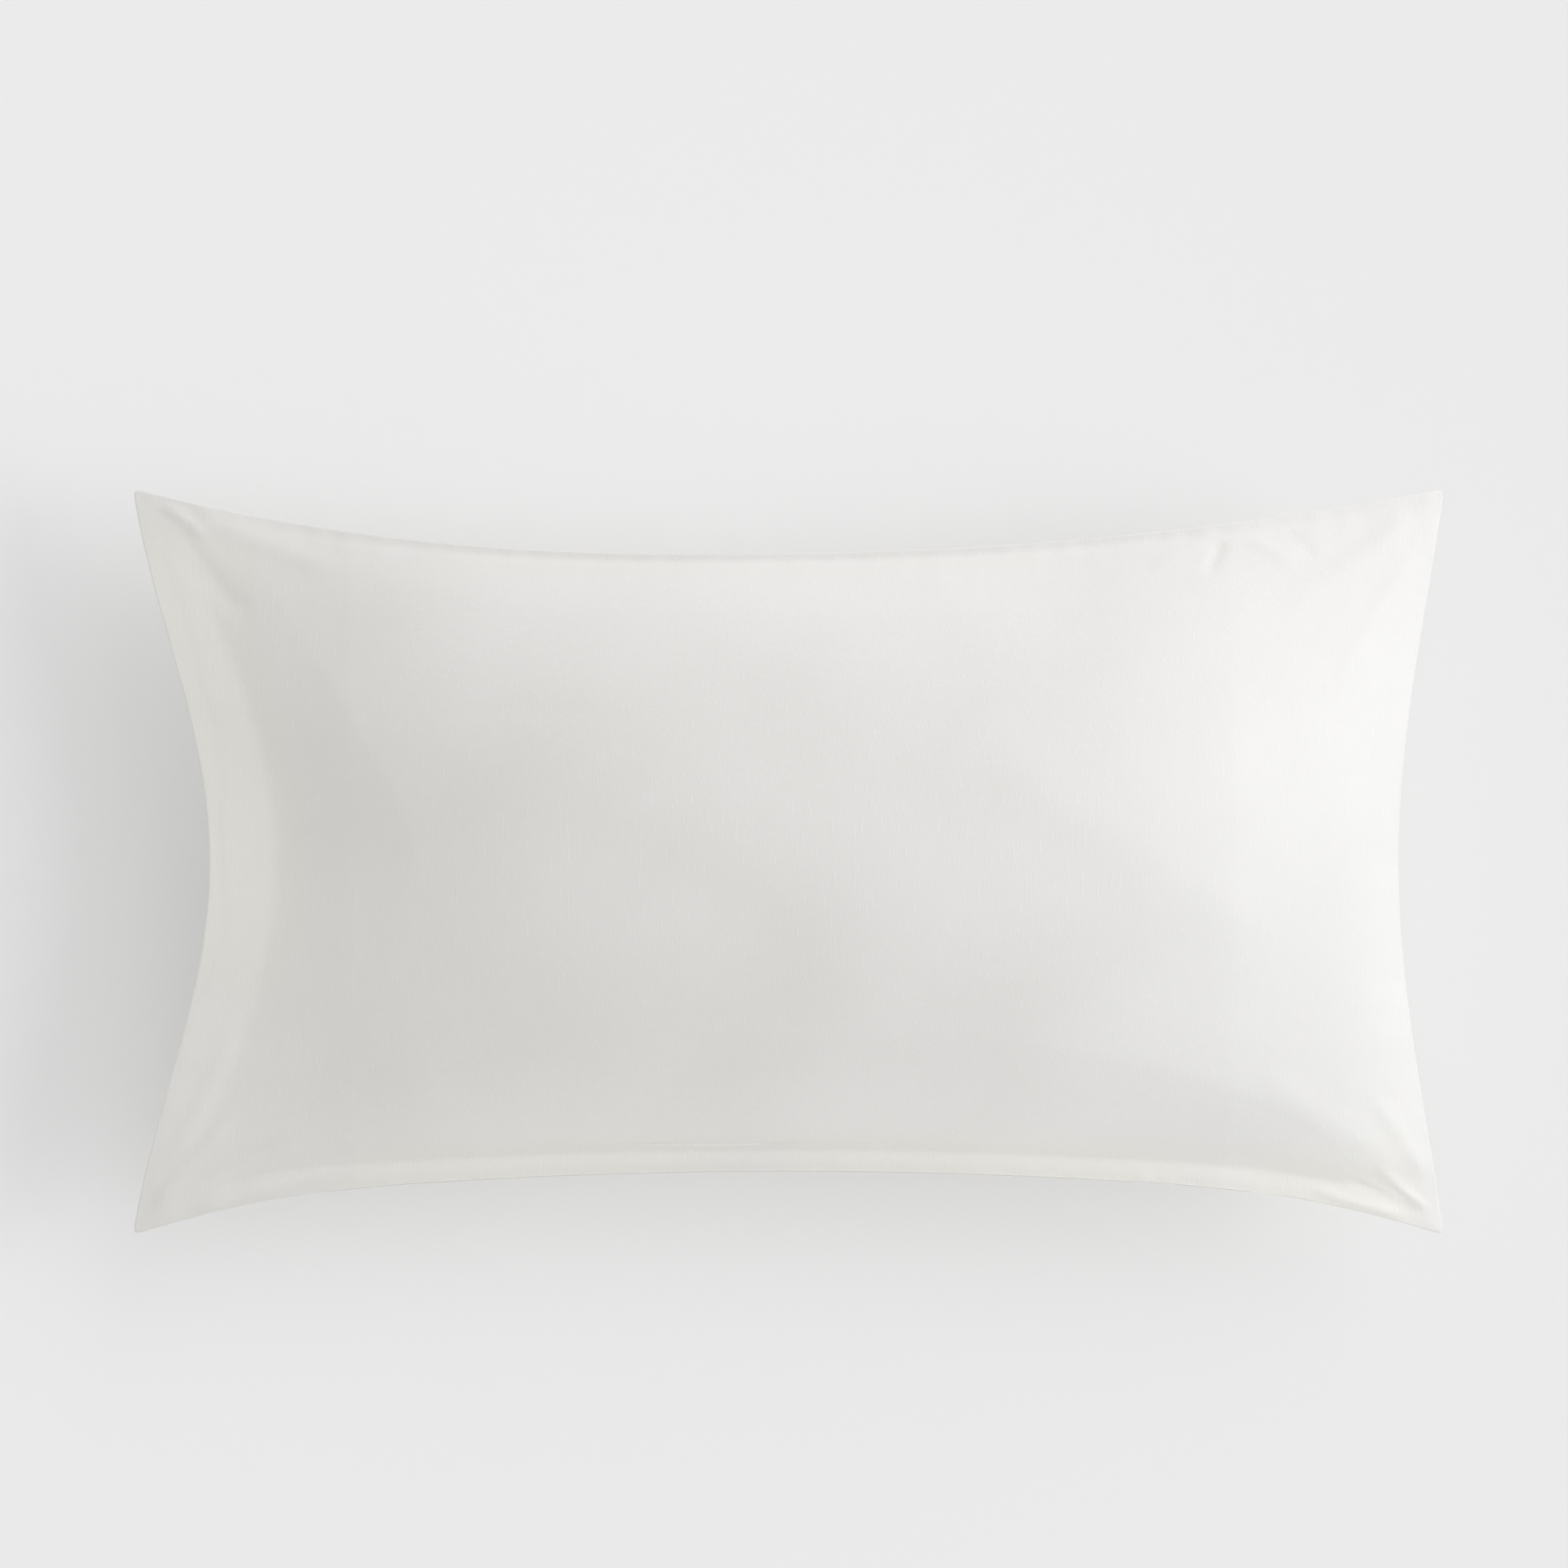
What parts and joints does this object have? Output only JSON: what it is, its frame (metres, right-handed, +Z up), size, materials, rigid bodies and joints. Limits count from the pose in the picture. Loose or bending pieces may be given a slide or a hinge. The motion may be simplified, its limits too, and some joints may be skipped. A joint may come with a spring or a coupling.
{
  "type": "bed pillow",
  "caption": "Plump king-size bed pillow with a zipped knife-edge cover of slubbed off-white cloth over a fibre-filled insert, lying flat.",
  "frame": {"origin": "on the surface that the pillow lies on, under the middle of the pillow", "axes": "+Z up out of the pillow's front face, +X along the pillow towards the zip's closed end, +Y across it, away from the seam with the zip"},
  "size_m": [0.892, 0.508, 0.19],
  "materials": {
    "cover_cloth": "matte",
    "ticking": "matte",
    "fibre": "matte",
    "thread": "matte",
    "label": "satin",
    "zip_tape": "matte",
    "zip_coil": "satin",
    "zip_metal": "polished"
  },
  "bodies": {
    "pillow": {"cover_front_panel": "cover_cloth", "cover_back_panel": "cover_cloth", "cover_seam_thread": "thread", "cover_care_label": "label", "zip_tape_front": "zip_tape", "zip_tape_back": "zip_tape", "zip_coil_front": "zip_coil", "zip_coil_back": "zip_coil", "zip_stitching_front": "thread", "zip_stitching_back": "thread", "zip_top_stop_front": "zip_metal", "zip_top_stop_back": "zip_metal", "zip_bottom_stop": "zip_metal", "insert_front_panel": "ticking", "insert_back_panel": "ticking", "insert_seam_thread": "thread", "insert_closing_thread": "thread", "insert_label": "label", "fibre_fill": "fibre"},
    "slider": {"zip_slider": "zip_metal"},
    "pull_tab": {"zip_pull_tab": "zip_metal"}
  },
  "joints": [
    {"name": "zip_travel", "type": "hinge", "parent": "pillow", "child": "slider", "pos_m": [0, -4.039, 0.085], "axis": [0, 0, 1], "range_deg": [0, 7.19]},
    {"name": "tab_swing", "type": "hinge", "parent": "slider", "child": "pull_tab", "pos_m": [0.2424, -0.21407, 0.085], "axis": [0, 0, -1], "range_deg": [0, 175]}
  ]
}
